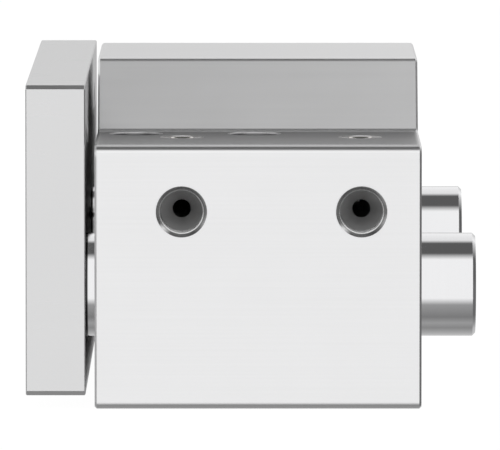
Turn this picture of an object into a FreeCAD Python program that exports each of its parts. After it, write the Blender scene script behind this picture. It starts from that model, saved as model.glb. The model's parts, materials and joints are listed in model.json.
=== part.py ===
"""Guided pneumatic cylinder: short stroke, one piston between two guide rods, tied by one yoke plate.

Millimetres. The stroke runs along X: the yoke plate is at -X and moves to -X when the cylinder extends.
Y runs across the housing, with the air ports on the -Y side. Z is up.
The origin is the centre of the four foot threads, on the housing's underside. The part is drawn retracted.
"""
import FreeCAD
import Part
import math
import os

# ---- motion ---------------------------------------------------------------------------------------------
STROKE = 20.0                    # travel of the plate, rods and piston

# ---- housing extrusion ----------------------------------------------------------------------------------
BODY_WIDTH = 148.0               # across both shoulders
SHOULDER_HEIGHT = 51.0           # underside to the top of a shoulder
BODY_HEIGHT = 64.8               # underside to the top of the crown
CROWN_FOOT_WIDTH = 66.0          # crown where it rises from the shoulders
CROWN_TOP_WIDTH = 49.6           # crown at its flat top: the sides lean in
CROWN_FOOT_FILLET = 0.8
CROWN_EDGE_RADIUS = 1.4
SHOULDER_EDGE_RADIUS = 2.3
FOOT_EDGE_RADIUS = 1.45
END_CHAMFER = 0.4                # edges round the housing's two end faces

# ---- cylinder bore and what closes it -------------------------------------------------------------------
BORE_DIAMETER = 50.0
COVER_SEAT_DIAMETER = 52.0       # counterbore for a cover's flange
ROD_COVER_REACH = 15.0           # housing's front face to the rod cover's inner face
ROD_COVER_SEAT_DEPTH = 11.0      # depth of the front counterbore
REAR_COVER_REACH = 9.8           # housing's rear face to the rear cover's inner face
REAR_COVER_SEAT_DEPTH = 7.8
CIRCLIP_THICKNESS = 2.0
CIRCLIP_GROOVE_DIAMETER = 55.0
CIRCLIP_INNER_DIAMETER = 47.4
CIRCLIP_INSET = 1.0              # end face of the housing to the circlip
CIRCLIP_EAR_RADIUS = 3.1
CIRCLIP_EAR_HOLE = 2.5
CIRCLIP_GAP_ANGLE = 34.0         # opening between the two ears' centres, degrees
HUB_DIAMETER = 36.0              # rod cover's nose, inside the circlip
HUB_INSET = 0.4                  # nose to the housing's front face
O_RING_GROOVE_WIDTH = 2.6
O_RING_GROOVE_DEPTH = 2.0
O_RING_LAND = 1.2                # flange material beside the groove
O_RING_SIDES = 8                 # flats of the simplified O-ring section

# ---- piston rod -----------------------------------------------------------------------------------------
PISTON_ROD_DIAMETER = 16.0
ROD_NECK_DIAMETER = 10.0         # turned down where the rod joins the plate
ROD_BUSH_WALL = 1.5
ROD_BUSH_LENGTH = 8.5
ROD_WIPER_DIAMETER = 24.0
ROD_WIPER_DEPTH = 5.4
WIPER_LIP_HEIGHT = 1.2           # depth of the hollow behind the lip
WIPER_LIP_WIDTH = 0.4            # flat edge each side of the hollow

# ---- piston ---------------------------------------------------------------------------------------------
PISTON_LAND = 1.4                # the four collars between and beside the grooves
PISTON_SEAL_WIDTH = 3.2
PISTON_SEAL_DEPTH = 3.4
MAGNET_WIDTH = 3.0
MAGNET_DEPTH = 3.0
WEAR_RING_WIDTH = 3.2
WEAR_RING_DEPTH = 1.6
PISTON_ROD_REGISTER = 3.0        # depth of the rod's seat in the piston
BUFFER_PROUD = 1.5               # end-stop ring, standing out of its cover
BUFFER_SEAT_DEPTH = 0.8
BUFFER_OUTER_DIAMETER = 43.0
BUFFER_INNER_DIAMETER = 30.0
STOP_GAP = 0.1                   # piston to an uncompressed buffer

# ---- guide rods -----------------------------------------------------------------------------------------
GUIDE_ROD_DIAMETER = 20.0
GUIDE_ROD_INSET = 14.5           # axis to the housing's side face
GUIDE_ROD_HEIGHT = 22.95         # axis above the underside
GUIDE_ROD_REAR_REACH = 10.6      # past the housing's rear face, retracted
GUIDE_ROD_CHAMFER = 0.6
GUIDE_BUSH_WALL = 2.0
GUIDE_BUSH_LENGTH = 20.0
GUIDE_BUSH_REAR_INSET = 1.0
GUIDE_WIPER_DIAMETER = 26.0
GUIDE_WIPER_DEPTH = 4.5

# ---- yoke plate -----------------------------------------------------------------------------------------
PLATE_THICKNESS = 11.5
PLATE_SIDE_INSET = 1.4           # housing's side face to the plate's edge
PLATE_TOP_INSET = 2.35           # top of the crown to the plate's upper edge
PLATE_FOOT_INSET = 2.5           # housing's underside to the plate's lower edge
PLATE_TOP_CHAMFER = 0.75
PLATE_FOOT_CHAMFER = 0.9
PLATE_FACE_CHAMFER = 0.2         # edges round the plate's front and rear faces
PLATE_GAP = 1.8                  # plate to housing, retracted
ROD_REGISTER = 1.5               # depth of each rod's seat in the plate
TOOL_HOLE_DIAMETER = 6.8         # tapping size of M8
TOOL_SPACING_Y = 80.0
TOOL_SPACING_Z = 40.0
TOOL_DOWEL_DIAMETER = 6.0
TOOL_DOWEL_DEPTH = 8.0
TOOL_DOWEL_SPACING = 50.0

# ---- screws ---------------------------------------------------------------------------------------------
HEAD_SINK = 0.4                  # low screw heads lie this far under the surface
SOCKET_DEPTH_SHARE = 0.55        # hexagon socket, share of the head's height
THREAD_RUNOUT = 2.0              # tapped hole past the end of its screw
LARGE_SCREW = {"thread": 8.0, "head": 13.0, "head_height": 5.0, "socket": 5.0, "reach": 14.0}
SMALL_SCREW = {"thread": 6.0, "head": 10.0, "head_height": 4.0, "socket": 4.0, "reach": 12.0}

# ---- air ports ------------------------------------------------------------------------------------------
PORT_DIAMETER = 8.6              # tapping size of G1/8
PORT_MOUTH_DIAMETER = 9.9        # chamfered mouth
PORT_DEPTH = 7.5
PORT_HEIGHT = 38.15
DRILL_TIP_ANGLE = 118.0
PASSAGE_DIAMETER = 3.5
SECOND_PORT_INSET = 22.8         # plugged port on the shoulder, from the side face
PLUG_LENGTH = 6.5
PLUG_SINK = 0.1
PLUG_SOCKET = 4.0
PLUG_SOCKET_DEPTH = 3.5
PLUG_LEAD_IN_DIAMETER = 5.0      # coned mouth of the plug's socket
PLUG_LEAD_IN_DEPTH = 0.5

# ---- foot and through holes, sensor slots ---------------------------------------------------------------
FOOT_HOLE_INSET = 7.7            # first pair of holes from the housing's front face
FOOT_SPACING_X = 23.1
FOOT_SPACING_Y = 83.0
FOOT_THREAD_DIAMETER = 6.8       # tapping size of M8
FOOT_THREAD_DEPTH = 14.0
THROUGH_HOLE_DIAMETER = 5.5
COUNTERBORE_DIAMETER = 10.0
COUNTERBORE_DEPTH = 5.5
COUNTERBORE_RIM_RADIUS = 0.3
DOWEL_DIAMETER = 5.0
DOWEL_DEPTH = 6.0
DOWEL_REAR_INSET = 22.0          # dowel holes from the housing's rear face
SLOT_OFFSET = 24.0               # sensor slots each side of the middle
SLOT_MOUTH = 5.2
SLOT_WIDTH = 6.6
SLOT_LIP = 1.6
SLOT_DEPTH = 6.4

# ---- clearances -----------------------------------------------------------------------------------------
RUNNING = 0.04                   # radial, shaft in its bush, seal on its shaft or bore
SEATED = 0.02                    # radial, piece in its seat
PISTON_CLEARANCE = 0.3           # radial, piston body in the bore
THROUGH = 0.25                   # radial, screw through its hole
TOUCHING = 0.01                  # points this close count as one

# ---- lengths and places that follow ---------------------------------------------------------------------
PISTON_LENGTH = 4 * PISTON_LAND + PISTON_SEAL_WIDTH + MAGNET_WIDTH + WEAR_RING_WIDTH
BODY_LENGTH = (ROD_COVER_REACH + REAR_COVER_REACH + 2 * (BUFFER_PROUD + STOP_GAP)
               + PISTON_LENGTH + STROKE)
FRONT_X = -(FOOT_HOLE_INSET + FOOT_SPACING_X / 2)
REAR_X = FRONT_X + BODY_LENGTH
SIDE_Y = BODY_WIDTH / 2
BORE_Z = BODY_HEIGHT / 2
BORE_RADIUS = BORE_DIAMETER / 2
PORT_XS = {
    "front": FRONT_X + ROD_COVER_REACH + PASSAGE_DIAMETER / 2,
    "rear": REAR_X - REAR_COVER_REACH - PASSAGE_DIAMETER / 2,
}
GUIDE_YS = {"port_side": GUIDE_ROD_INSET - SIDE_Y, "plain_side": SIDE_Y - GUIDE_ROD_INSET}
PLATE_SIDE_Y = SIDE_Y - PLATE_SIDE_INSET
PLATE_REAR_X = FRONT_X - PLATE_GAP
PLATE_FRONT_X = PLATE_REAR_X - PLATE_THICKNESS
PISTON_REAR_X = REAR_X - REAR_COVER_REACH - BUFFER_PROUD - STOP_GAP
PISTON_FRONT_X = PISTON_REAR_X - PISTON_LENGTH
FRONT_CIRCLIP_X = FRONT_X + CIRCLIP_INSET
REAR_CIRCLIP_X = REAR_X - CIRCLIP_INSET - CIRCLIP_THICKNESS


# ---- shared shapes --------------------------------------------------------------------------------------
def vec(x, y, z):
    return FreeCAD.Vector(x, y, z)


X_AXIS = vec(1, 0, 0)
Y_AXIS = vec(0, 1, 0)
Z_AXIS = vec(0, 0, 1)


def rod(diameter, x0, x1, y=0.0, z=BORE_Z):
    """Solid round bar along X from x0 to x1."""
    return Part.makeCylinder(diameter / 2, x1 - x0, vec(x0, y, z), X_AXIS)


def hole(diameter, start, direction, depth, tip_angle=None):
    """Drilled hole as a solid; a blind one may end in a drill tip."""
    bore = Part.makeCylinder(diameter / 2, depth, start, direction)
    if tip_angle is None:
        return bore
    tip_height = diameter / 2 / math.tan(math.radians(tip_angle / 2))
    end = start + direction * depth
    return bore.fuse(Part.makeCone(diameter / 2, 0, tip_height, end, direction))


def ring_about_x(points, y=0.0, z=BORE_Z):
    """Turned piece: (x, radius) points of a closed section, revolved about an axis along X."""
    corners = [vec(x, 0, radius) for x, radius in points]
    section = Part.Face(Part.makePolygon(corners + corners[:1]))
    turned = section.revolve(vec(0, 0, 0), X_AXIS, 360)
    turned.translate(vec(0, y, z))
    return turned


def sleeve(outer_diameter, inner_diameter, x0, x1, y=0.0, z=BORE_Z):
    """Plain ring along X."""
    return rod(outer_diameter, x0, x1, y, z).cut(rod(inner_diameter, x0, x1, y, z))


def hexagon(across_flats, start, direction, depth):
    """Hexagonal prism, for a screw's or plug's socket."""
    corner_radius = across_flats / math.sqrt(3)
    side = vec(0, 0, 1) if abs(direction.z) < 0.5 else vec(1, 0, 0)
    other = direction.cross(side)
    corners = []
    for step in range(6):
        angle = math.radians(60 * step)
        outward = side * math.cos(angle) + other * math.sin(angle)
        corners.append(start + outward * corner_radius)
    face = Part.Face(Part.makePolygon(corners + corners[:1]))
    return face.extrude(direction * depth)


def long_edges(shape, places):
    """Edges along X that pass through the given (y, z) corners."""
    found = []
    for edge in shape.Edges:
        first, last = edge.Vertexes[0].Point, edge.Vertexes[-1].Point
        if abs(first.x - last.x) < TOUCHING:
            continue
        if any(math.hypot(first.y - y, first.z - z) < TOUCHING for y, z in places):
            found.append(edge)
    return found


def end_edges(shape, x):
    """Edges that lie in the plane across X at x."""
    return [edge for edge in shape.Edges if all(abs(v.Point.x - x) < TOUCHING for v in edge.Vertexes)]


def extruded(outline, x0, x1):
    """Prism along X from a list of (y, z) corners."""
    corners = [vec(x0, y, z) for y, z in outline]
    return Part.Face(Part.makePolygon(corners + corners[:1])).extrude(X_AXIS * (x1 - x0))


# ---- housing --------------------------------------------------------------------------------------------
def housing_profile_body():
    """The extrusion: shoulders each side of a crown with leaning sides, edges broken."""
    foot_y = CROWN_FOOT_WIDTH / 2
    top_y = CROWN_TOP_WIDTH / 2
    half = [(SIDE_Y, 0), (SIDE_Y, SHOULDER_HEIGHT), (foot_y, SHOULDER_HEIGHT), (top_y, BODY_HEIGHT)]
    radii = [FOOT_EDGE_RADIUS, SHOULDER_EDGE_RADIUS, CROWN_FOOT_FILLET, CROWN_EDGE_RADIUS]
    body = extruded(half + [(-y, z) for y, z in reversed(half)], FRONT_X, REAR_X)
    for (y, z), radius in zip(half, radii):
        body = body.makeFillet(radius, long_edges(body, [(y, z), (-y, z)]))
    return body.makeChamfer(END_CHAMFER, end_edges(body, FRONT_X) + end_edges(body, REAR_X))


def cylinder_bore():
    """Bore, the covers' counterbores and the circlip grooves."""
    front_seat_end = FRONT_X + ROD_COVER_SEAT_DEPTH
    rear_seat_end = REAR_X - REAR_COVER_SEAT_DEPTH
    return [
        rod(BORE_DIAMETER, FRONT_X, REAR_X),
        rod(COVER_SEAT_DIAMETER, FRONT_X, front_seat_end),
        rod(COVER_SEAT_DIAMETER, rear_seat_end, REAR_X),
        rod(CIRCLIP_GROOVE_DIAMETER, FRONT_CIRCLIP_X, FRONT_CIRCLIP_X + CIRCLIP_THICKNESS),
        rod(CIRCLIP_GROOVE_DIAMETER, REAR_CIRCLIP_X, REAR_CIRCLIP_X + CIRCLIP_THICKNESS),
    ]


def guide_bores():
    """Bores for the guide bushes, widened at the front for the wipers."""
    cuts = []
    for y in GUIDE_YS.values():
        cuts.append(rod(GUIDE_ROD_DIAMETER + 2 * GUIDE_BUSH_WALL, FRONT_X, REAR_X, y, GUIDE_ROD_HEIGHT))
        cuts.append(rod(GUIDE_WIPER_DIAMETER, FRONT_X, FRONT_X + GUIDE_WIPER_DEPTH, y, GUIDE_ROD_HEIGHT))
    return cuts


def port_mouth(start, direction):
    """Threaded port with a chamfered mouth and a drilled bottom."""
    lead = (PORT_MOUTH_DIAMETER - PORT_DIAMETER) / 2
    mouth = Part.makeCone(PORT_MOUTH_DIAMETER / 2, PORT_DIAMETER / 2, lead, start, direction)
    return mouth.fuse(hole(PORT_DIAMETER, start, direction, PORT_DEPTH, DRILL_TIP_ANGLE))


def air_ports():
    """Side ports, the second ports on the shoulder, and the passages that join them to the bore."""
    second_y = -SIDE_Y + SECOND_PORT_INSET
    cuts = []
    for x in PORT_XS.values():
        side = vec(x, -SIDE_Y, PORT_HEIGHT)
        top = vec(x, second_y, SHOULDER_HEIGHT)
        cuts.append(port_mouth(side, Y_AXIS))
        cuts.append(hole(PORT_DIAMETER, top, -Z_AXIS, PORT_DEPTH, DRILL_TIP_ANGLE))
        cuts.append(hole(PASSAGE_DIAMETER, side, Y_AXIS, SIDE_Y))
        cuts.append(hole(PASSAGE_DIAMETER, top, -Z_AXIS, SHOULDER_HEIGHT - PORT_HEIGHT))
    return cuts


def foot_hole_places():
    return [(sx * FOOT_SPACING_X / 2, sy * FOOT_SPACING_Y / 2) for sx in (-1, 1) for sy in (-1, 1)]


def mounting_holes():
    """Through holes, counterbored on the shoulders and threaded at the foot, and two dowel holes."""
    cuts = []
    for x, y in foot_hole_places():
        cuts.append(hole(THROUGH_HOLE_DIAMETER, vec(x, y, 0), Z_AXIS, SHOULDER_HEIGHT))
        cuts.append(hole(FOOT_THREAD_DIAMETER, vec(x, y, 0), Z_AXIS, FOOT_THREAD_DEPTH))
        cuts.append(hole(COUNTERBORE_DIAMETER, vec(x, y, SHOULDER_HEIGHT), -Z_AXIS, COUNTERBORE_DEPTH))
    for sign in (-1, 1):
        start = vec(REAR_X - DOWEL_REAR_INSET, sign * FOOT_SPACING_Y / 2, 0)
        cuts.append(hole(DOWEL_DIAMETER, start, Z_AXIS, DOWEL_DEPTH))
    return cuts


def sensor_slots():
    """Two C-slots along the underside that hold the position sensors."""
    cuts = []
    mouth, wide = SLOT_MOUTH / 2, SLOT_WIDTH / 2
    for sign in (-1, 1):
        y = sign * SLOT_OFFSET
        outline = [
            (y - mouth, 0), (y + mouth, 0), (y + mouth, SLOT_LIP), (y + wide, SLOT_LIP),
            (y + wide, SLOT_DEPTH), (y - wide, SLOT_DEPTH), (y - wide, SLOT_LIP), (y - mouth, SLOT_LIP),
        ]
        cuts.append(extruded(outline, FRONT_X, REAR_X))
    return cuts


def counterbore_rims(shape):
    """The round edges of the four counterbores on the shoulders."""
    circles = [edge for edge in shape.Edges if isinstance(edge.Curve, Part.Circle)]
    rims = [edge for edge in circles if abs(edge.Curve.Radius - COUNTERBORE_DIAMETER / 2) < TOUCHING]
    return [edge for edge in rims if abs(edge.Curve.Center.z - SHOULDER_HEIGHT) < TOUCHING]


def housing():
    cuts = cylinder_bore() + guide_bores() + air_ports() + mounting_holes() + sensor_slots()
    body = housing_profile_body().cut(cuts).removeSplitter()
    return body.makeFillet(COUNTERBORE_RIM_RADIUS, counterbore_rims(body))


# ---- covers, rings and seals of the cylinder ------------------------------------------------------------
def rod_cover():
    """Turned cover: nose inside the circlip, flange with an O-ring groove, spigot in the bore."""
    flange = COVER_SEAT_DIAMETER / 2 - SEATED
    spigot = BORE_RADIUS - SEATED
    hub = HUB_DIAMETER / 2
    bush = PISTON_ROD_DIAMETER / 2 + ROD_BUSH_WALL
    wiper = ROD_WIPER_DIAMETER / 2
    nose_x = FRONT_X + HUB_INSET
    flange_x = FRONT_CIRCLIP_X + CIRCLIP_THICKNESS
    step_x = FRONT_X + ROD_COVER_SEAT_DEPTH
    inner_x = FRONT_X + ROD_COVER_REACH
    groove_end_x = step_x - O_RING_LAND
    groove_x = groove_end_x - O_RING_GROOVE_WIDTH
    groove_floor = flange - O_RING_GROOVE_DEPTH
    bush_x = inner_x - ROD_BUSH_LENGTH
    buffer_x = inner_x - BUFFER_SEAT_DEPTH
    wiper_x = nose_x + ROD_WIPER_DEPTH
    return ring_about_x([
        (nose_x, wiper), (nose_x, hub), (flange_x, hub), (flange_x, flange),
        (groove_x, flange), (groove_x, groove_floor),
        (groove_end_x, groove_floor), (groove_end_x, flange),
        (step_x, flange), (step_x, spigot), (inner_x, spigot),
        (inner_x, BUFFER_OUTER_DIAMETER / 2), (buffer_x, BUFFER_OUTER_DIAMETER / 2),
        (buffer_x, BUFFER_INNER_DIAMETER / 2), (inner_x, BUFFER_INNER_DIAMETER / 2),
        (inner_x, bush), (bush_x, bush), (bush_x, PISTON_ROD_DIAMETER / 2 + PISTON_CLEARANCE),
        (wiper_x, PISTON_ROD_DIAMETER / 2 + PISTON_CLEARANCE), (wiper_x, wiper),
    ])


def rear_cover():
    """Turned cover: flange with an O-ring groove and a spigot in the bore, dished on the outside."""
    flange = COVER_SEAT_DIAMETER / 2 - SEATED
    spigot = BORE_RADIUS - SEATED
    outer_x = REAR_CIRCLIP_X
    step_x = REAR_X - REAR_COVER_SEAT_DEPTH
    inner_x = REAR_X - REAR_COVER_REACH
    groove_x = step_x + (outer_x - step_x - O_RING_GROOVE_WIDTH) / 2
    groove_end_x = groove_x + O_RING_GROOVE_WIDTH
    groove_floor = flange - O_RING_GROOVE_DEPTH
    buffer_x = inner_x + BUFFER_SEAT_DEPTH
    dish = HUB_DIAMETER / 2
    dish_x = outer_x - O_RING_LAND
    return ring_about_x([
        (inner_x, 0), (inner_x, BUFFER_INNER_DIAMETER / 2), (buffer_x, BUFFER_INNER_DIAMETER / 2),
        (buffer_x, BUFFER_OUTER_DIAMETER / 2), (inner_x, BUFFER_OUTER_DIAMETER / 2),
        (inner_x, spigot), (step_x, spigot), (step_x, flange),
        (groove_x, flange), (groove_x, groove_floor),
        (groove_end_x, groove_floor), (groove_end_x, flange),
        (outer_x, flange), (outer_x, dish), (dish_x, dish - O_RING_LAND), (dish_x, 0),
    ])


def o_ring(groove_x):
    """Ring that fills its groove's depth; the section is an octagon round the real round one."""
    section = O_RING_GROOVE_DEPTH / 2 - SEATED
    corner = section / math.cos(math.pi / O_RING_SIDES)
    middle_radius = COVER_SEAT_DIAMETER / 2 - SEATED - O_RING_GROOVE_DEPTH / 2
    middle_x = groove_x + O_RING_GROOVE_WIDTH / 2
    angles = [2 * math.pi * (step + 0.5) / O_RING_SIDES for step in range(O_RING_SIDES)]
    return ring_about_x([(middle_x + corner * math.cos(angle), middle_radius + corner * math.sin(angle))
                         for angle in angles])


def rod_cover_o_ring():
    return o_ring(FRONT_X + ROD_COVER_SEAT_DEPTH - O_RING_LAND - O_RING_GROOVE_WIDTH)


def rear_cover_o_ring():
    step_x = REAR_X - REAR_COVER_SEAT_DEPTH
    return o_ring(step_x + (REAR_CIRCLIP_X - step_x - O_RING_GROOVE_WIDTH) / 2)


def circlip(x):
    """Internal retaining ring: open at the bottom, an ear with a plier hole at each end."""
    outer = CIRCLIP_GROOVE_DIAMETER / 2 - SEATED
    inner = CIRCLIP_INNER_DIAMETER / 2
    end_x = x + CIRCLIP_THICKNESS
    ring = sleeve(2 * outer, 2 * inner, x, end_x)
    half_gap = math.radians(CIRCLIP_GAP_ANGLE / 2)
    reach = 2 * outer
    wedge = [(0, BORE_Z), (reach * math.sin(half_gap), BORE_Z - reach * math.cos(half_gap)),
             (-reach * math.sin(half_gap), BORE_Z - reach * math.cos(half_gap))]
    ring = ring.cut(extruded(wedge, x, end_x))
    ear_middle = inner
    for sign in (-1, 1):
        y = sign * ear_middle * math.sin(half_gap)
        z = BORE_Z - ear_middle * math.cos(half_gap)
        ear = rod(2 * CIRCLIP_EAR_RADIUS, x, end_x, y, z)
        ring = ring.fuse(ear).cut(rod(CIRCLIP_EAR_HOLE, x, end_x, y, z))
    return ring.common(rod(2 * outer, x, end_x)).removeSplitter()


def rod_bush():
    inner_x = FRONT_X + ROD_COVER_REACH
    outer = PISTON_ROD_DIAMETER + 2 * ROD_BUSH_WALL - 2 * SEATED
    return sleeve(outer, PISTON_ROD_DIAMETER + 2 * RUNNING, inner_x - ROD_BUSH_LENGTH, inner_x)


def wiper_ring(rod_diameter, seat_diameter, x0, depth, y, z):
    """Elastic ring: solid heel in its seat, hollow front, lip that wipes the rod."""
    lip = rod_diameter / 2 + RUNNING
    seat = seat_diameter / 2 - SEATED
    heel_x = x0 + depth
    waist = (lip + seat) / 2
    return ring_about_x([
        (x0, seat), (heel_x, seat), (heel_x, lip), (x0, lip),
        (x0, lip + WIPER_LIP_WIDTH), (x0 + WIPER_LIP_HEIGHT, waist), (x0, waist + WIPER_LIP_WIDTH),
    ], y, z)


def rod_wiper():
    nose_x = FRONT_X + HUB_INSET
    return wiper_ring(PISTON_ROD_DIAMETER, ROD_WIPER_DIAMETER, nose_x, ROD_WIPER_DEPTH, 0, BORE_Z)


def guide_wiper(y):
    z = GUIDE_ROD_HEIGHT
    return wiper_ring(GUIDE_ROD_DIAMETER, GUIDE_WIPER_DIAMETER, FRONT_X, GUIDE_WIPER_DEPTH, y, z)


def buffer_ring(x0, x1):
    """Elastic ring let into a cover's inner face."""
    return sleeve(BUFFER_OUTER_DIAMETER - 2 * SEATED, BUFFER_INNER_DIAMETER + 2 * SEATED, x0, x1)


def front_buffer():
    inner_x = FRONT_X + ROD_COVER_REACH
    return buffer_ring(inner_x - BUFFER_SEAT_DEPTH, inner_x + BUFFER_PROUD)


def rear_buffer():
    inner_x = REAR_X - REAR_COVER_REACH
    return buffer_ring(inner_x - BUFFER_PROUD, inner_x + BUFFER_SEAT_DEPTH)


# ---- guides ---------------------------------------------------------------------------------------------
def guide_bush(x0, y):
    """Plain bearing bush pressed into the housing."""
    outer = GUIDE_ROD_DIAMETER + 2 * GUIDE_BUSH_WALL - 2 * SEATED
    inner = GUIDE_ROD_DIAMETER + 2 * RUNNING
    return sleeve(outer, inner, x0, x0 + GUIDE_BUSH_LENGTH, y, GUIDE_ROD_HEIGHT)


def guide_rod(y):
    """Hard chromed rod, chamfered at the rear and tapped at the front for its screw."""
    front_x = PLATE_REAR_X - ROD_REGISTER
    rear_x = REAR_X + GUIDE_ROD_REAR_REACH
    radius = GUIDE_ROD_DIAMETER / 2
    bar = ring_about_x([
        (front_x, 0), (front_x, radius - SEATED), (PLATE_REAR_X, radius - SEATED), (PLATE_REAR_X, radius),
        (rear_x - GUIDE_ROD_CHAMFER, radius), (rear_x, radius - GUIDE_ROD_CHAMFER), (rear_x, 0),
    ], y, GUIDE_ROD_HEIGHT)
    return bar.cut(screw_thread_hole(LARGE_SCREW, front_x, y, GUIDE_ROD_HEIGHT))


# ---- screws and plugs -----------------------------------------------------------------------------------
def screw_thread_hole(screw, x, y, z):
    """Tapped hole running to +X from a face at x, a little deeper than the screw."""
    return rod(screw["thread"] + 2 * SEATED, x, x + screw["reach"] + THREAD_RUNOUT, y, z)


def head_room(screw):
    """Depth of the counterbore that sinks a screw's head."""
    return screw["head_height"] + HEAD_SINK


def low_head_screw(screw, face_x, seat_x, y, z, facing):
    """Low-head socket screw: its head's outer face looks along facing (-1 or +1) at face_x."""
    head_x0, head_x1 = sorted((face_x, face_x - facing * screw["head_height"]))
    shank_x0, shank_x1 = sorted((face_x - facing * screw["head_height"], seat_x - facing * screw["reach"]))
    head = rod(screw["head"], head_x0, head_x1, y, z)
    body = head.fuse(rod(screw["thread"], shank_x0, shank_x1, y, z))
    depth = screw["head_height"] * SOCKET_DEPTH_SHARE
    return body.cut(hexagon(screw["socket"], vec(face_x, y, z), X_AXIS * -facing, depth)).removeSplitter()


def guide_rod_screws():
    """The two screws of the guide rods, as one group."""
    face_x = PLATE_FRONT_X + HEAD_SINK
    seat_x = PLATE_REAR_X - ROD_REGISTER
    return Part.makeCompound([low_head_screw(LARGE_SCREW, face_x, seat_x, y, GUIDE_ROD_HEIGHT, -1)
                              for y in GUIDE_YS.values()])


def piston_rod_screw():
    face_x = PLATE_FRONT_X + HEAD_SINK
    return low_head_screw(SMALL_SCREW, face_x, PLATE_REAR_X - ROD_REGISTER, 0, BORE_Z, -1)


def piston_screw():
    seat_x = PISTON_FRONT_X + PISTON_ROD_REGISTER
    return low_head_screw(LARGE_SCREW, PISTON_REAR_X - HEAD_SINK, seat_x, 0, BORE_Z, 1)


def port_plug(x):
    """Flush socket plug in a second port."""
    top = SHOULDER_HEIGHT - PLUG_SINK
    start = vec(x, -SIDE_Y + SECOND_PORT_INSET, top)
    plug = Part.makeCylinder(PORT_DIAMETER / 2 - SEATED, PLUG_LENGTH, start, -Z_AXIS)
    mouth = PLUG_LEAD_IN_DIAMETER / 2
    lead_in = Part.makeCone(mouth, mouth - PLUG_LEAD_IN_DEPTH, PLUG_LEAD_IN_DEPTH, start, -Z_AXIS)
    return plug.cut([lead_in, hexagon(PLUG_SOCKET, start, -Z_AXIS, PLUG_SOCKET_DEPTH)])


# ---- plate, piston rod and piston -----------------------------------------------------------------------
def yoke_plate():
    """Thick plate that ties the rods: seats behind, counterbored screw holes and tool threads in front."""
    z0 = PLATE_FOOT_INSET
    z1 = BODY_HEIGHT - PLATE_TOP_INSET
    outline = [(-PLATE_SIDE_Y, z0), (PLATE_SIDE_Y, z0), (PLATE_SIDE_Y, z1), (-PLATE_SIDE_Y, z1)]
    plate = extruded(outline, PLATE_FRONT_X, PLATE_REAR_X)
    plate = plate.makeChamfer(PLATE_FOOT_CHAMFER, long_edges(plate, outline[:2]))
    plate = plate.makeChamfer(PLATE_TOP_CHAMFER, long_edges(plate, outline[2:]))
    faces = end_edges(plate, PLATE_FRONT_X) + end_edges(plate, PLATE_REAR_X)
    plate = plate.makeChamfer(PLATE_FACE_CHAMFER, faces)
    cuts = []
    screwed = [(LARGE_SCREW, GUIDE_ROD_DIAMETER, y, GUIDE_ROD_HEIGHT) for y in GUIDE_YS.values()]
    screwed.append((SMALL_SCREW, ROD_NECK_DIAMETER, 0.0, BORE_Z))
    for screw, seat, y, z in screwed:
        cuts.append(rod(seat, PLATE_REAR_X - ROD_REGISTER, PLATE_REAR_X, y, z))
        cuts.append(rod(screw["thread"] + 2 * THROUGH, PLATE_FRONT_X, PLATE_REAR_X, y, z))
        seat_x = PLATE_FRONT_X + head_room(screw)
        cuts.append(rod(screw["head"] + 2 * THROUGH, PLATE_FRONT_X, seat_x, y, z))
    for sy in (-1, 1):
        for sz in (-1, 1):
            y, z = sy * TOOL_SPACING_Y / 2, BORE_Z + sz * TOOL_SPACING_Z / 2
            cuts.append(rod(TOOL_HOLE_DIAMETER, PLATE_FRONT_X, PLATE_REAR_X, y, z))
        y = sy * TOOL_DOWEL_SPACING / 2
        cuts.append(rod(TOOL_DOWEL_DIAMETER, PLATE_FRONT_X, PLATE_FRONT_X + TOOL_DOWEL_DEPTH, y, BORE_Z))
    return plate.cut(cuts)


def piston_rod():
    """Rod with a thin neck at the plate, tapped at both ends."""
    neck_x = PLATE_REAR_X - ROD_REGISTER
    shoulder_x = FRONT_X + HUB_INSET
    end_x = PISTON_FRONT_X + PISTON_ROD_REGISTER
    radius = PISTON_ROD_DIAMETER / 2
    neck = ROD_NECK_DIAMETER / 2
    bar = ring_about_x([
        (neck_x, 0), (neck_x, neck - SEATED), (PLATE_REAR_X, neck - SEATED), (PLATE_REAR_X, neck),
        (shoulder_x, neck), (shoulder_x, radius - GUIDE_ROD_CHAMFER),
        (shoulder_x + GUIDE_ROD_CHAMFER, radius), (PISTON_FRONT_X, radius),
        (PISTON_FRONT_X, radius - SEATED), (end_x, radius - SEATED), (end_x, 0),
    ])
    front = screw_thread_hole(SMALL_SCREW, neck_x, 0, BORE_Z)
    rear_depth = LARGE_SCREW["reach"] + THREAD_RUNOUT
    rear = rod(LARGE_SCREW["thread"] + 2 * SEATED, end_x - rear_depth, end_x)
    return bar.cut([front, rear])


def piston_grooves():
    """Start of the seal, magnet and wear-ring grooves along the piston."""
    seal_x = PISTON_FRONT_X + PISTON_LAND
    magnet_x = seal_x + PISTON_SEAL_WIDTH + PISTON_LAND
    wear_x = magnet_x + MAGNET_WIDTH + PISTON_LAND
    return seal_x, magnet_x, wear_x


def piston_ring(x0, width, depth, clearance):
    """Ring that fills a piston groove and stops short of the bore by a clearance."""
    inner = BORE_DIAMETER - 2 * PISTON_CLEARANCE - 2 * depth + 2 * SEATED
    return sleeve(BORE_DIAMETER - 2 * clearance, inner, x0 + SEATED, x0 + width - SEATED)


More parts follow.
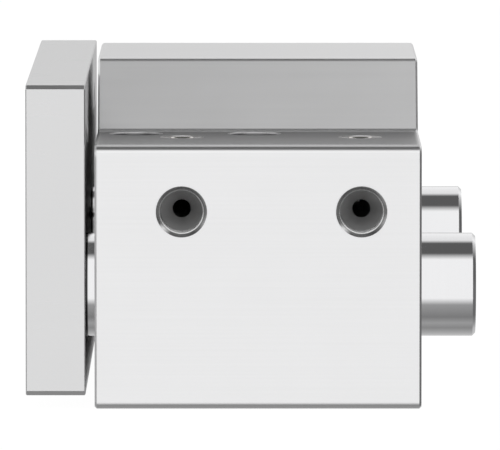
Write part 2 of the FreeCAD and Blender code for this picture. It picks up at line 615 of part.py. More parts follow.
def piston():
    """Turned piston: three ring grooves, the rod's seat in front, the screw head's room behind."""
    diameter = BORE_DIAMETER - 2 * PISTON_CLEARANCE
    body = rod(diameter, PISTON_FRONT_X, PISTON_REAR_X)
    seal_x, magnet_x, wear_x = piston_grooves()
    rings = [(seal_x, PISTON_SEAL_WIDTH, PISTON_SEAL_DEPTH), (magnet_x, MAGNET_WIDTH, MAGNET_DEPTH),
             (wear_x, WEAR_RING_WIDTH, WEAR_RING_DEPTH)]
    cuts = [sleeve(BORE_DIAMETER, diameter - 2 * depth, x, x + width) for x, width, depth in rings]
    cuts.append(rod(PISTON_ROD_DIAMETER, PISTON_FRONT_X, PISTON_FRONT_X + PISTON_ROD_REGISTER))
    cuts.append(rod(LARGE_SCREW["thread"] + 2 * THROUGH, PISTON_FRONT_X, PISTON_REAR_X))
    head_x = PISTON_REAR_X - head_room(LARGE_SCREW)
    cuts.append(rod(LARGE_SCREW["head"] + 2 * THROUGH, head_x, PISTON_REAR_X))
    return body.cut(cuts)


# ---- write one STEP file per piece ----------------------------------------------------------------------
def pieces():
    seal_x, magnet_x, wear_x = piston_grooves()
    made = {
        "housing": housing(),
        "rod_cover": rod_cover(),
        "rod_cover_o_ring": rod_cover_o_ring(),
        "rod_cover_circlip": circlip(FRONT_CIRCLIP_X),
        "rod_bush": rod_bush(),
        "rod_wiper": rod_wiper(),
        "front_buffer": front_buffer(),
        "rear_cover": rear_cover(),
        "rear_cover_o_ring": rear_cover_o_ring(),
        "rear_cover_circlip": circlip(REAR_CIRCLIP_X),
        "rear_buffer": rear_buffer(),
        "yoke_plate": yoke_plate(),
        "piston_rod": piston_rod(),
        "piston": piston(),
        "piston_seal": piston_ring(seal_x, PISTON_SEAL_WIDTH, PISTON_SEAL_DEPTH, RUNNING),
        "piston_magnet": piston_ring(magnet_x, MAGNET_WIDTH, MAGNET_DEPTH, PISTON_CLEARANCE),
        "piston_wear_ring": piston_ring(wear_x, WEAR_RING_WIDTH, WEAR_RING_DEPTH, RUNNING),
        "piston_screw": piston_screw(),
        "guide_rod_screws": guide_rod_screws(),
        "piston_rod_screw": piston_rod_screw(),
    }
    for place, x in PORT_XS.items():
        made[place + "_port_plug"] = port_plug(x)
    rear_bush_x = REAR_X - GUIDE_BUSH_REAR_INSET - GUIDE_BUSH_LENGTH
    for side, y in GUIDE_YS.items():
        made[side + "_guide_rod"] = guide_rod(y)
        made[side + "_front_guide_bush"] = guide_bush(FRONT_X + GUIDE_WIPER_DEPTH, y)
        made[side + "_rear_guide_bush"] = guide_bush(rear_bush_x, y)
        made[side + "_guide_wiper"] = guide_wiper(y)
    return made


os.makedirs("parts", exist_ok=True)
for name, shape in pieces().items():
    shape.exportStep("parts/" + name + ".step")
    print(name, "valid" if shape.isValid() else "NOT VALID", len(shape.Solids), round(shape.Volume, 1))
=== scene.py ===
import bmesh
import bpy
import json
import math
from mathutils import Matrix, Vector


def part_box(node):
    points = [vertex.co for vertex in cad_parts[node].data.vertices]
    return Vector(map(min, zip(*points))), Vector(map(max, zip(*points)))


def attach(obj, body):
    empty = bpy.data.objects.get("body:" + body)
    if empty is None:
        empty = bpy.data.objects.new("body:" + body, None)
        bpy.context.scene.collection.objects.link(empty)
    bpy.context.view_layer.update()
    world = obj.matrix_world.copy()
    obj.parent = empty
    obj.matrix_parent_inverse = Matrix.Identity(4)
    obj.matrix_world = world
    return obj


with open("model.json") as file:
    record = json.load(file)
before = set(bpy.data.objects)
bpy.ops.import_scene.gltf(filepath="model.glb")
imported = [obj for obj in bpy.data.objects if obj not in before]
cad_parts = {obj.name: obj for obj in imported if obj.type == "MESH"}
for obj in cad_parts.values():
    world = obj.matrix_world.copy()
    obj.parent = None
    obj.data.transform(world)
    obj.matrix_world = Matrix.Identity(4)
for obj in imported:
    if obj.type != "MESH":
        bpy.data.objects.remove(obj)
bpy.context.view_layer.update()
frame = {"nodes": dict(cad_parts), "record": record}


# ---- housing -------------------------------------------------------------------------------------
# One length of aluminium extrusion, cut square, its two sides milled, then clear anodised. The faces
# keep a fine grain along the stroke. Everything else is fixed to it or slides in it.
nodes = frame["nodes"]
mounts = {mount["name"]: mount for mount in frame["record"]["mounts"]}
PLUG_RECESS = 0.0001
front_x, side_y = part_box("housing")[0][:2]
rear_x, _, top_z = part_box("housing")[1]
shoulder_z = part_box("front_port_plug")[1][2] + PLUG_RECESS

# A grain is given as cycles per metre along X, Y and Z.
ALONG_STROKE = (14, 1800, 1800)
EVEN = (1500, 1500, 1500)
PATCHES = (60, 60, 60)
PATCH_SEED = 7
NOISE_SPAN = (0.3, 0.7)
GRAIN_GLOSS = 0.08
PATCH_GLOSS = 0.05
BROKEN_EDGE = 0.0001
RELIEF_HEIGHT = 0.0002


def new_material(name, metallic):
    """A new node material, its node tree and its shader."""
    material = bpy.data.materials.new(name)
    material.use_nodes = True
    shader = material.node_tree.nodes["Principled BSDF"]
    shader.inputs["Metallic"].default_value = metallic
    return material, material.node_tree, shader


def node(tree, kind, **settings):
    """A new node with the given settings and socket values."""
    made = tree.nodes.new(kind)
    for name, value in settings.items():
        if hasattr(made, name):
            setattr(made, name, value)
        else:
            made.inputs[name.replace("_", " ")].default_value = value
    return made


def maths(tree, operation, first, second=0.0):
    """One operation on two values or sockets."""
    made = node(tree, "ShaderNodeMath", operation=operation)
    for socket, value in zip(made.inputs, (first, second)):
        if isinstance(value, (int, float)):
            socket.default_value = value
        else:
            tree.links.new(value, socket)
    return made.outputs[0]


def noise(tree, grain, detail=3.0, seed=0.0):
    """Noise over the part's own coordinates."""
    spot = node(tree, "ShaderNodeTexCoord")
    stretch = node(tree, "ShaderNodeMapping")
    stretch.inputs["Scale"].default_value = grain
    stretch.inputs["Location"].default_value = (seed, seed, seed)
    made = node(tree, "ShaderNodeTexNoise", Scale=1.0, Detail=detail, Roughness=0.6)
    tree.links.new(spot.outputs["Object"], stretch.inputs["Vector"])
    tree.links.new(stretch.outputs["Vector"], made.inputs["Vector"])
    return made.outputs["Fac"]


def spread(tree, value, low, high):
    """Takes noise from its usual middle span to low..high."""
    span = node(tree, "ShaderNodeMapRange")
    for name, level in zip(("From Min", "From Max", "To Min", "To Max"), (*NOISE_SPAN, low, high)):
        span.inputs[name].default_value = level
    tree.links.new(value, span.inputs["Value"])
    return span.outputs["Result"]


def blend(tree, amount, low, high):
    """Colour between two colours or sockets: low where the amount is 0, high where it is 1."""
    mix = node(tree, "ShaderNodeMix", data_type="RGBA")
    # Of its many sockets, 0, 6 and 7 take the amount and two colours, and 2 gives the colour.
    for socket, value in ((mix.inputs[0], amount), (mix.inputs[6], low), (mix.inputs[7], high)):
        if isinstance(value, (int, float)):
            socket.default_value = value
        elif isinstance(value, tuple):
            socket.default_value = (*value, 1)
        else:
            tree.links.new(value, socket)
    return mix.outputs[2]


def surface(name, colour, metallic, roughness, grain, variation, relief, seed=0.0):
    """A finish: its grain shifts colour, gloss and height a little, and sharp edges are broken."""
    material, tree, shader = new_material(name, metallic)
    streaks = noise(tree, grain, seed=seed)
    patches = noise(tree, PATCHES, detail=2.0, seed=seed + PATCH_SEED)
    dark = tuple(part * (1 - variation) for part in colour)
    light = tuple(min(1.0, part * (1 + variation)) for part in colour)
    tone = blend(tree, spread(tree, streaks, 0, 1), dark, light)
    tree.links.new(tone, shader.inputs["Base Color"])
    gloss = spread(tree, streaks, roughness * (1 - GRAIN_GLOSS), roughness * (1 + GRAIN_GLOSS))
    gloss = maths(tree, "MULTIPLY", gloss, spread(tree, patches, 1 - PATCH_GLOSS, 1 + PATCH_GLOSS))
    tree.links.new(gloss, shader.inputs["Roughness"])
    worn = node(tree, "ShaderNodeBevel", samples=4, Radius=BROKEN_EDGE)
    bump = node(tree, "ShaderNodeBump", Strength=relief, Distance=RELIEF_HEIGHT)
    tree.links.new(streaks, bump.inputs["Height"])
    tree.links.new(worn.outputs["Normal"], bump.inputs["Normal"])
    tree.links.new(bump.outputs["Normal"], shader.inputs["Normal"])
    return material


def dress(material, *names):
    """Gives CAD nodes their finish."""
    for name in names:
        mesh = nodes[name].data
        mesh.materials.clear()
        mesh.materials.append(material)


# A mask is 1 on one stretch of the surface and 0 elsewhere. A band is where it changes over.
MASK_EDGE = 0.0001
SKIN_BLUE = 0.003


def step(tree, value, start, end):
    """0 below start, 1 above end, sloped between."""
    span = node(tree, "ShaderNodeMapRange", clamp=True)
    span.inputs["From Min"].default_value = start
    span.inputs["From Max"].default_value = end
    tree.links.new(value, span.inputs["Value"])
    return span.outputs["Result"]


def opposite(tree, mask):
    """1 where a mask is 0, and 0 where it is 1."""
    return maths(tree, "SUBTRACT", 1.0, mask)


def below(tree, value, start, end):
    """1 below start, 0 above end, sloped between."""
    return opposite(tree, step(tree, value, start, end))


def both(tree, first, second):
    """1 where two masks are both 1."""
    return maths(tree, "MULTIPLY", first, second)


def place_of(tree):
    """The part's own X, Y and Z at each point of the surface."""
    spot = node(tree, "ShaderNodeTexCoord")
    place = node(tree, "ShaderNodeSeparateXYZ")
    tree.links.new(spot.outputs["Object"], place.inputs[0])
    return place


def box_mask(tree, place, low, high):
    """1 inside a box in the part's own frame. It picks out what is bored or sunk below a face."""
    mask = 1.0
    for axis, start, end in zip("XYZ", low, high):
        value = place.outputs[axis]
        mask = both(tree, step(tree, value, start, start + MASK_EDGE), mask)
        mask = both(tree, below(tree, value, end - MASK_EDGE, end), mask)
    return mask


def grey(level):
    """A plain grey."""
    return (level, level, level)


def skin(level):
    """The grey of the anodised skin, which is a trace blue."""
    return (level, level, level + SKIN_BLUE)


# Bands of height from the shoulder: a painted highlight line under its edge, and the rounded edge
# itself, with painted shade and highlight on it.
# The outer band is at a distance from the centre plane, near the side faces.
HIGHLIGHT_LINE_BAND = (-0.0015, -0.0013)
EDGE_BAND = (-0.0010, -0.0009)
EDGE_UPPER_BAND = (-0.00045, -0.00035)
EDGE_LIP_BAND = (-0.00025, -0.00005)
OUTER_BAND = (0.070, 0.071)
# The highlight line and the tones of the rounded edge are painted highlight and painted shade; the
# crown's top is lighter towards the rear.
HIGHLIGHT_LINE = 0.98
EDGE_LOWER = 0.61
EDGE_UPPER = 0.74
EDGE_LIP = 0.40
CROWN_TOP_FRONT = 0.775
CROWN_TOP_REAR = 0.845


def edge_tone(tree, height, outer, under_top, rearward):
    """The rounded edges of the shoulders in painted shade and highlight, and above them the flat top
    of the crown, lighter towards the rear.
    """
    upper = both(tree, step(tree, height, *EDGE_UPPER_BAND), outer)
    lip = both(tree, step(tree, height, *EDGE_LIP_BAND), outer)
    rounding = blend(tree, upper, skin(EDGE_LOWER), skin(EDGE_UPPER))
    rounding = blend(tree, lip, rounding, skin(EDGE_LIP))
    crown_top = blend(tree, rearward, skin(CROWN_TOP_FRONT), skin(CROWN_TOP_REAR))
    return blend(tree, under_top, crown_top, rounding)


# The hollow where a side of the crown runs out into the shoulder, by height from the shoulder. The
# crown's sides are painted shade, and the hollow is painted light.
HOLLOW_BAND = (0.00005, 0.0003)
HOLLOW = 0.92
FLANK_FRONT = 0.507
FLANK_REAR = 0.576


def flank_tone(tree, height, outer, rearward):
    """The crown's leaning sides in painted shade, lighter towards the rear, with painted light in the
    hollow at their foot.
    """
    flank = blend(tree, rearward, skin(FLANK_FRONT), skin(FLANK_REAR))
    hollow = both(tree, below(tree, height, *HOLLOW_BAND), opposite(tree, outer))
    return blend(tree, hollow, flank, skin(HOLLOW))


# The foot of the crown is at a distance from the centre plane. The shoulders are painted shade, and
# along the crown's foot and at their rear end they are painted light.
CROWN_FOOT_BAND = (0.0365, 0.0380)
REAR_END_BAND = (rear_x - 0.0010, rear_x - 0.0001)
SHOULDER = 0.31
SHOULDER_REAR_END = 0.84


def shoulder_tone(tree, along_stroke, off_centre):
    """The level shoulders in painted shade, with painted light along the foot of the crown and at
    their rear end.
    """
    foot = below(tree, off_centre, *CROWN_FOOT_BAND)
    rear_end = step(tree, along_stroke, *REAR_END_BAND)
    shoulder = blend(tree, foot, skin(SHOULDER), skin(HOLLOW))
    return blend(tree, rear_end, shoulder, skin(SHOULDER_REAR_END))


# The two side ports, their bores and mouths in painted shade and the low part of each mouth in a
# painted highlight. Depths are from the side face, and the low part of a mouth leans towards the
# yoke plate.
PORT_RADIUS_BAND = (0.00495, 0.005)
PORT_FACE_BAND = (0.00002, 0.00006)
PORT_CONE_DEPTH = 0.0007
PORT_REACH_BAND = (0.060, 0.061)
PORT_LOW_BAND = (-0.0045, -0.0030)
PORT_LOW_LEAN = 0.35
PORT_BORE_SHADE = 0.46
PORT_MOUTH_SHADE = 0.38
PORT_MOUTH_HIGHLIGHT = 0.80
PORT_MOUTH_POLISH = 0.65


def side_port_masks(tree, place, port):
    """Masks of a side port: its bored walls and coned mouth, which take painted shade, and the low
    part of the mouth, which takes a painted highlight.
    """
    centre_x, _, centre_z = port["pos_m"]
    across = maths(tree, "SUBTRACT", place.outputs["X"], centre_x)
    up = maths(tree, "SUBTRACT", place.outputs["Z"], centre_z)
    depth = maths(tree, "SUBTRACT", place.outputs["Y"], side_y)
    squares = [maths(tree, "MULTIPLY", value, value) for value in (across, up)]
    reach = maths(tree, "SQRT", maths(tree, "ADD", *squares))
    inside = below(tree, reach, *PORT_RADIUS_BAND)
    inside = both(tree, inside, below(tree, depth, *PORT_REACH_BAND))
    sunk = step(tree, depth, *PORT_FACE_BAND)
    deep = step(tree, depth, PORT_CONE_DEPTH - MASK_EDGE, PORT_CONE_DEPTH)
    shallow = both(tree, sunk, opposite(tree, deep))
    leaning = maths(tree, "ADD", up, maths(tree, "MULTIPLY", across, PORT_LOW_LEAN))
    low = below(tree, leaning, *PORT_LOW_BAND)
    return both(tree, inside, deep), both(tree, inside, shallow), low


# Where the extruded skin starts and ends in height, and which way a face has to look: the last two
# bands are parts of a unit direction. What is bored lies in a box under the face of the shoulders,
# and is painted shade.
TOP_BAND = (top_z - 0.0007, top_z - 0.0002)
SHOULDER_BAND = (-0.0001, -0.00002)
END_FACE_BAND = (0.3, 0.6)
LEVEL_FACE_BAND = (0.985, 0.999)
BORED_SHADE = 0.50
BORED_LOW = (front_x + 0.0004, -0.061, shoulder_z - 0.0110)
BORED_HIGH = (rear_x - 0.0004, 0.061, shoulder_z - 0.0003)


def housing_finish():
    """Bright milled sides, and the duller skin of the extrusion on the shoulders and the crown, whose
    tones by face and band are painted light and shade; what is bored and the ports take painted shade
    and a painted highlight.
    """
    material = surface("housing_anodised", colour=(0.88, 0.88, 0.885), metallic=1.0, roughness=0.33,
                       grain=ALONG_STROKE, variation=0.015, relief=0.01)
    tree = material.node_tree
    shader = tree.nodes["Principled BSDF"]
    milled = shader.inputs["Base Color"].links[0].from_socket
    gloss = shader.inputs["Roughness"].links[0].from_socket
    place = place_of(tree)
    geometry = node(tree, "ShaderNodeNewGeometry")
    facing = node(tree, "ShaderNodeSeparateXYZ")
    tree.links.new(geometry.outputs["True Normal"], facing.inputs[0])

    height = maths(tree, "SUBTRACT", place.outputs["Z"], shoulder_z)
    off_centre = maths(tree, "ABSOLUTE", place.outputs["Y"])
    outer = step(tree, off_centre, *OUTER_BAND)
    rearward = step(tree, place.outputs["X"], front_x, rear_x)
    under_top = below(tree, place.outputs["Z"], *TOP_BAND)
    sides = below(tree, maths(tree, "ABSOLUTE", facing.outputs["X"]), *END_FACE_BAND)
    level = step(tree, facing.outputs["Z"], *LEVEL_FACE_BAND)

    line = both(tree, step(tree, height, *HIGHLIGHT_LINE_BAND), sides)
    edge = both(tree, step(tree, height, *EDGE_BAND), sides)
    extruded = both(tree, both(tree, step(tree, height, *SHOULDER_BAND), under_top), sides)
    bored = box_mask(tree, place, BORED_LOW, BORED_HIGH)
    flank = flank_tone(tree, height, outer, rearward)
    shoulder = shoulder_tone(tree, place.outputs["X"], off_centre)
    # The skin's tones, the highlight line, the rounded edges and what is bored are painted light and
    # shade.
    tone = blend(tree, line, milled, skin(HIGHLIGHT_LINE))
    tone = blend(tree, edge, tone, edge_tone(tree, height, outer, under_top, rearward))
    tone = blend(tree, extruded, tone, blend(tree, level, flank, shoulder))
    tone = blend(tree, bored, tone, grey(BORED_SHADE))
    # Each port's bore and mouth are painted shade, and the low part of its mouth a painted highlight.
    for port in ("front_port", "rear_port"):
        bore, mouth, low = side_port_masks(tree, place, mounts[port])
        mouth_tone = blend(tree, low, grey(PORT_MOUTH_SHADE), grey(PORT_MOUTH_HIGHLIGHT))
        tone = blend(tree, mouth, blend(tree, bore, tone, grey(PORT_BORE_SHADE)), mouth_tone)
        polish = opposite(tree, maths(tree, "MULTIPLY", mouth, PORT_MOUTH_POLISH))
        gloss = maths(tree, "MULTIPLY", gloss, polish)
    tree.links.new(tone, shader.inputs["Base Color"])
    tree.links.new(gloss, shader.inputs["Roughness"])
    return material


dress(housing_finish(), "housing")

# ---- housing threads -----------------------------------------------------------------------------
# The threads cut in the two side ports and in the four foot holes. Each is a helical ridge on the
# wall of its drilled hole, in the bare aluminium that the tap leaves.
PORT_THREAD = {"radius": 0.0043, "pitch": 0.000907, "ridge": 0.00022, "length": 0.0062}
FOOT_THREAD = {"radius": 0.0034, "pitch": 0.00125, "ridge": 0.0003, "length": 0.0135}
THREAD_STEPS = 48
THREAD_SINK = 0.00003
THREAD_HALF_ANGLE = math.radians(27.5)


def finished(name, body, material, mesh):
    """Turns a bmesh into a piece that rides on a body."""
    data = bpy.data.meshes.new(name)
    mesh.to_mesh(data)
    mesh.free()
    data.materials.append(material)
    piece = bpy.data.objects.new(name, data)
    bpy.context.collection.objects.link(piece)
    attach(piece, body)
    return piece


def thread(name, body, material, mouth, into, radius, pitch, ridge, length):
    """A helical ridge inside a hole: mouth is the start of the thread's axis, into its direction."""
    into = Vector(into).normalized()
    side = into.orthogonal().normalized()
    other = into.cross(side)
    turns = length / pitch - 1
    root = radius + THREAD_SINK
    half = (root - radius + ridge) * math.tan(THREAD_HALF_ANGLE)
    section = ((0.0, root), (2 * half, root), (half, radius - ridge))
    mesh = bmesh.new()
    rings = []
    for count in range(int(turns * THREAD_STEPS) + 1):
        angle = 2 * math.pi * count / THREAD_STEPS
        outward = side * math.cos(angle) + other * math.sin(angle)
        centre = Vector(mouth) + into * (pitch * count / THREAD_STEPS)
        rings.append([mesh.verts.new(centre + into * along + outward * reach)
                      for along, reach in section])
    for ring, following in zip(rings, rings[1:]):
        for corner in range(3):
            turn = (corner + 1) % 3
            mesh.faces.new((ring[corner], following[corner], following[turn], ring[turn]))
    mesh.faces.new(rings[0])
    mesh.faces.new(reversed(rings[-1]))
    bmesh.ops.recalc_face_normals(mesh, faces=mesh.faces)
    return finished(name, body, material, mesh)


def pattern(mount):
    """Centres of the holes of a rectangular bolt pattern in the record, and the way into them."""
    axis = Vector(mount["axis"])
    into = -axis
    across = [i for i in range(3) if abs(axis[i]) < 0.5]
    centres = []
    for first in (-0.5, 0.5):
        for second in (-0.5, 0.5):
            centre = Vector(mount["pos_m"])
            centre[across[0]] += first * mount["dims"]["spacing_x_mm"] / 1000
            centre[across[1]] += second * mount["dims"]["spacing_y_mm"] / 1000
            centres.append(centre)
    return centres, into


tapped = surface("tapped_aluminium", colour=(0.80, 0.80, 0.80), metallic=1.0, roughness=0.22,
                 grain=EVEN, variation=0.05, relief=0.02)
for port in ("front_port", "rear_port"):
    start = Vector(mounts[port]["pos_m"])
    start.y = side_y + PORT_CONE_DEPTH
    port_thread = thread(port + "_thread", "base", tapped, start, (0, 1, 0), **PORT_THREAD)
foot_starts, foot_into = pattern(mounts["foot_threads"])
for count, start in enumerate(foot_starts, 1):
    foot_thread = thread(f"foot_thread_{count}", "base", tapped, start, foot_into, **FOOT_THREAD)

# ---- bushes, wipers and seals --------------------------------------------------------------------
# Sintered bronze bushes: two pressed into the housing for each guide rod, and one in the front cover
# for the piston rod. Wipers of black rubber sit in front of them, and the O-rings and the piston's
# seal are of the same rubber.
dress(surface("sintered_bronze", colour=(0.62, 0.42, 0.22), metallic=1.0, roughness=0.38,
              grain=EVEN, variation=0.12, relief=0.1),
      "port_side_front_guide_bush", "port_side_rear_guide_bush",
      "plain_side_front_guide_bush", "plain_side_rear_guide_bush", "rod_bush")
dress(surface("black_rubber", colour=(0.018, 0.018, 0.019), metallic=0.0, roughness=0.55,
              grain=EVEN, variation=0.2, relief=0.15),
      "port_side_guide_wiper", "plain_side_guide_wiper", "rod_wiper",
      "rod_cover_o_ring", "rear_cover_o_ring", "piston_seal")

# ---- cylinder covers, their circlips and end stops -----------------------------------------------
# Turned aluminium covers, held in the bore by dark phosphated circlips, with an elastic stop ring
# inside each. The piston between them is turned in the same way.
TURNED = (30, 900, 900)
dress(surface("turned_aluminium", colour=(0.72, 0.72, 0.73), metallic=1.0, roughness=0.32,
              grain=TURNED, variation=0.04, relief=0.03),
      "rod_cover", "rear_cover", "piston")
dress(surface("phosphated_spring_steel", colour=(0.10, 0.10, 0.105), metallic=1.0, roughness=0.42,
              grain=EVEN, variation=0.15, relief=0.06),
      "rod_cover_circlip", "rear_cover_circlip")
dress(surface("stop_elastomer", colour=(0.05, 0.09, 0.16), metallic=0.0, roughness=0.45,
              grain=EVEN, variation=0.1, relief=0.05),
      "front_buffer", "rear_buffer")

# ---- port plugs ----------------------------------------------------------------------------------
# Two nickel-plated socket plugs. They are screwed into the upper pair of ports, just below the face
# of the shoulder, and close them.
dress(surface("nickel_plate", colour=(0.74, 0.72, 0.69), metallic=1.0, roughness=0.16,
              grain=EVEN, variation=0.03, relief=0.02),
      "front_port_plug", "rear_port_plug")

# ---- piston rings --------------------------------------------------------------------------------
# The rings in the piston's grooves: one of magnet compound, which the sensors find, and a wear ring
# of polymer, which keeps the piston off the bore.
dress(surface("magnet_compound", colour=(0.07, 0.065, 0.06), metallic=0.0, roughness=0.5,
              grain=EVEN, variation=0.2, relief=0.1),
      "piston_magnet")
dress(surface("wear_polymer", colour=(0.30, 0.19, 0.09), metallic=0.0, roughness=0.4,
              grain=EVEN, variation=0.1, relief=0.05),
      "piston_wear_ring")

# ---- guide rods and piston rod -------------------------------------------------------------------
# Hardened steel bars, ground, hard chromed and polished: nearly a mirror, with a trace of the
# grinding round them. A narrow band of each, where it seats against the plate, is painted shade.
ROUND_THE_ROD = (5000, 40, 40)
plate_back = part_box("yoke_plate")[1][0]
SEAT_SHADE_BAND = (plate_back + 0.00033, plate_back + 0.00048)
SEAT_SHADE = 0.04


def touch_up(material, mask, colour):
    """Gives the masked part of a finish another colour."""
    tree = material.node_tree
    base = tree.nodes["Principled BSDF"].inputs["Base Color"]
    tree.links.new(blend(tree, mask, base.links[0].from_socket, colour), base)


def rod_finish():
    """Polished chrome, with painted shade on the band where it seats against the plate."""
    material = surface("hard_chrome", colour=(0.87, 0.87, 0.88), metallic=1.0, roughness=0.07,
                       grain=ROUND_THE_ROD, variation=0.01, relief=0.004)
    tree = material.node_tree
    # Painted shade on the band where the rod seats against the plate.
    seat_shade = below(tree, place_of(tree).outputs["X"], *SEAT_SHADE_BAND)
    touch_up(material, seat_shade, grey(SEAT_SHADE))
    return material


dress(rod_finish(), "port_side_guide_rod", "plain_side_guide_rod", "piston_rod")

# ---- yoke plate ----------------------------------------------------------------------------------
# Flat aluminium bar, milled all round and clear anodised, a shade darker than the extrusion. It is
# drilled, counterbored for the rods' screws, and tapped in four places for the tool it carries.
PLATE_INSET = Vector((0.0003, 0.0015, 0.0015))
PLATE_BORED_SHADE = 0.42
TOOL_THREAD = {"radius": 0.0034, "pitch": 0.00125, "ridge": 0.0003, "length": 0.0112}


def plate_finish():
    """The milled faces, with painted shade in the drilled and counterbored holes."""
    material = surface("plate_anodised", colour=(0.747, 0.747, 0.75), metallic=1.0, roughness=0.30,
                       grain=ALONG_STROKE, variation=0.006, relief=0.004, seed=3.0)
    tree = material.node_tree
    low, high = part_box("yoke_plate")
    # Painted shade in the drilled and counterbored holes.
    bored = box_mask(tree, place_of(tree), low + PLATE_INSET, high - PLATE_INSET)
    touch_up(material, bored, grey(PLATE_BORED_SHADE))
    return material


dress(plate_finish(), "yoke_plate")
tool_starts, tool_into = pattern(mounts["tool_threads"])
for count, start in enumerate(tool_starts, 1):
    tool_thread = thread(f"tool_thread_{count}", "carriage", tapped, start, tool_into, **TOOL_THREAD)

# ---- screws --------------------------------------------------------------------------------------
# Zinc-plated steel socket screws: two hold the guide rods to the plate, one holds the piston rod to
# it, and one holds the piston to its rod.
head_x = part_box("guide_rod_screws")[0][0]
SOCKET_SHADE_BAND = (head_x + 0.0002, head_x + 0.0004)
SOCKET_SHADE = (0.14, 0.14, 0.145)


def screw_finish():
    """Zinc plate, with painted shade in the sockets and down the sides of the heads."""
    material = surface("zinc_plate", colour=(0.62, 0.62, 0.64), metallic=1.0, roughness=0.28,
                       grain=EVEN, variation=0.06, relief=0.03)
    tree = material.node_tree
    # Painted shade in the sockets and down the sides of the heads.
    sunk = step(tree, place_of(tree).outputs["X"], *SOCKET_SHADE_BAND)
    touch_up(material, sunk, SOCKET_SHADE)
    return material


dress(screw_finish(), "guide_rod_screws", "piston_rod_screw", "piston_screw")

# ---- stage ---------------------------------------------------------------------------------------
# A wide, matt, pale floor under the housing and an even, soft studio round it, with a dark gap
# overhead. The camera stands well off on the port side with a long lens.
# Light by degrees round the stroke, and by height at the two ends, beyond the plate and behind the
# housing. The bands are parts of a unit direction.
LIGHT_ROUND_STROKE = ((-180, 0.62), (-170, 0.60), (-152, 0.55), (-110, 0.27), (-92, 0.36),
                      (-74, 0.22), (-42, 0.34), (-27, 0.98), (62, 0.98), (78, 0.11), (110, 0.11),
                      (121, 0.84), (157, 0.96), (162, 0.88), (170, 0.68), (179, 0.62))
LIGHT_AT_ENDS = {"low": (0.34, 0.15), "level": (0.90, 0.12), "high": (0.40, 0.95)}
REAR_BAND = (-0.1, 0.1)
END_BAND = (0.5, 0.8)
LEVEL_BAND = (-0.05, 0.15)
HIGH_BAND = (0.4, 0.6)


def light_round_stroke(tree, direction):
    """Light by the angle round the stroke: 0 degrees is level on the port side, 90 overhead."""
    front = maths(tree, "MULTIPLY", direction.outputs["Y"], -1.0)
    angle = maths(tree, "ARCTAN2", direction.outputs["Z"], front)
    turn = maths(tree, "ADD", maths(tree, "MULTIPLY", angle, 0.5 / math.pi), 0.5)
    ramp = node(tree, "ShaderNodeValToRGB")
    elements = ramp.color_ramp.elements
    while len(elements) < len(LIGHT_ROUND_STROKE):
        elements.new(0.5)
    for element, (degrees, level) in zip(elements, LIGHT_ROUND_STROKE):
        element.position = (degrees + 180) / 360
        element.color = (*grey(level), 1)
    tree.links.new(turn, ramp.inputs["Fac"])
    return ramp.outputs["Color"]


def light_at_ends(tree, direction):
    """Light from beyond the plate and from behind the housing, by height."""
    rear = step(tree, direction.outputs["X"], *REAR_BAND)
    tones = {height: blend(tree, rear, grey(before), grey(behind))
             for height, (before, behind) in LIGHT_AT_ENDS.items()}
    up = direction.outputs["Z"]
    tone = blend(tree, step(tree, up, *LEVEL_BAND), tones["low"], tones["level"])
    return blend(tree, step(tree, up, *HIGH_BAND), tone, tones["high"])


def studio_world():
    """The studio's light, and plain white where the camera looks past the object."""
    world = bpy.data.worlds.new("studio")
    bpy.context.scene.world = world
    world.use_nodes = True
    tree = world.node_tree
    tree.nodes.clear()
    spot = node(tree, "ShaderNodeTexCoord")
    direction = node(tree, "ShaderNodeSeparateXYZ")
    tree.links.new(spot.outputs["Generated"], direction.inputs[0])
    endways = step(tree, maths(tree, "ABSOLUTE", direction.outputs["X"]), *END_BAND)
    tone = blend(tree, endways, light_round_stroke(tree, direction), light_at_ends(tree, direction))
    light = node(tree, "ShaderNodeBackground")
    white = node(tree, "ShaderNodeBackground", Color=(1, 1, 1, 1))
    ray = node(tree, "ShaderNodeLightPath")
    mix = node(tree, "ShaderNodeMixShader")
    out = node(tree, "ShaderNodeOutputWorld")
    tree.links.new(tone, light.inputs["Color"])
    tree.links.new(ray.outputs["Is Camera Ray"], mix.inputs[0])
    tree.links.new(light.outputs[0], mix.inputs[1])
    tree.links.new(white.outputs[0], mix.inputs[2])
    tree.links.new(mix.outputs[0], out.inputs[0])


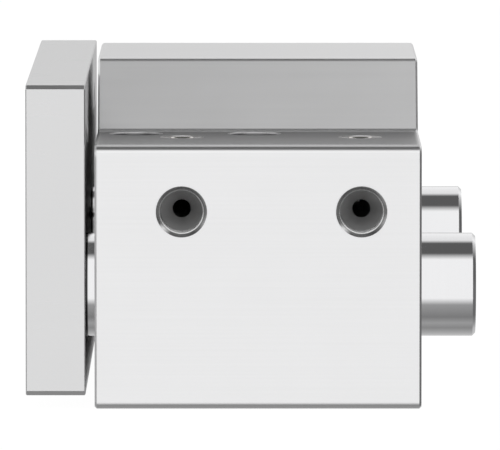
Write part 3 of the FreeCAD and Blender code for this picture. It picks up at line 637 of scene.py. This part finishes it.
FLOOR_REACH = 8.0
FLOOR_GAP = 0.0002
FLOOR_GLOW = 1.06
FLOOR_GLOW_SHARE = 0.92


def floor():
    """Matt floor that takes the shadow and otherwise reads as white."""
    corners = [(x * FLOOR_REACH, y * FLOOR_REACH, 0) for x, y in ((-1, -1), (1, -1), (1, 1), (-1, 1))]
    mesh = bpy.data.meshes.new("floor")
    mesh.from_pydata(corners, [], [(0, 1, 2, 3)])
    plane = bpy.data.objects.new("floor", mesh)
    bpy.context.collection.objects.link(plane)
    plane.location.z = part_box("housing")[0][2] - FLOOR_GAP
    plane.visible_glossy = False
    material, tree, shader = new_material("floor_pale", 0.0)
    shader.inputs["Base Color"].default_value = (0.9, 0.9, 0.9, 1)
    shader.inputs["Roughness"].default_value = 0.9
    glow = node(tree, "ShaderNodeEmission", Strength=FLOOR_GLOW)
    ray = node(tree, "ShaderNodeLightPath")
    mix = node(tree, "ShaderNodeMixShader")
    share = maths(tree, "MULTIPLY", ray.outputs["Is Camera Ray"], FLOOR_GLOW_SHARE)
    tree.links.new(share, mix.inputs[0])
    tree.links.new(shader.outputs[0], mix.inputs[1])
    tree.links.new(glow.outputs[0], mix.inputs[2])
    tree.links.new(mix.outputs[0], tree.nodes["Material Output"].inputs["Surface"])
    mesh.materials.append(material)


CAMERA_ALONG = 0.02886
CAMERA_DISTANCE = 1.8063
CAMERA_HEIGHT = 0.18045
CAMERA_DIP = 0.0800
CAMERA_TURN = -0.0006


def camera():
    """Long lens, looking slightly down on the port side."""
    data = bpy.data.cameras.new("camera")
    data.sensor_width = 36.0
    data.lens = 678.0
    data.clip_end = 100
    view = bpy.data.objects.new("camera", data)
    bpy.context.collection.objects.link(view)
    view.location = (front_x + CAMERA_ALONG, side_y - CAMERA_DISTANCE, CAMERA_HEIGHT)
    view.rotation_euler = (math.pi / 2 - CAMERA_DIP, 0, CAMERA_TURN)
    bpy.context.scene.camera = view


studio_world()
floor()
camera()
bpy.context.scene.view_settings.view_transform = "Standard"
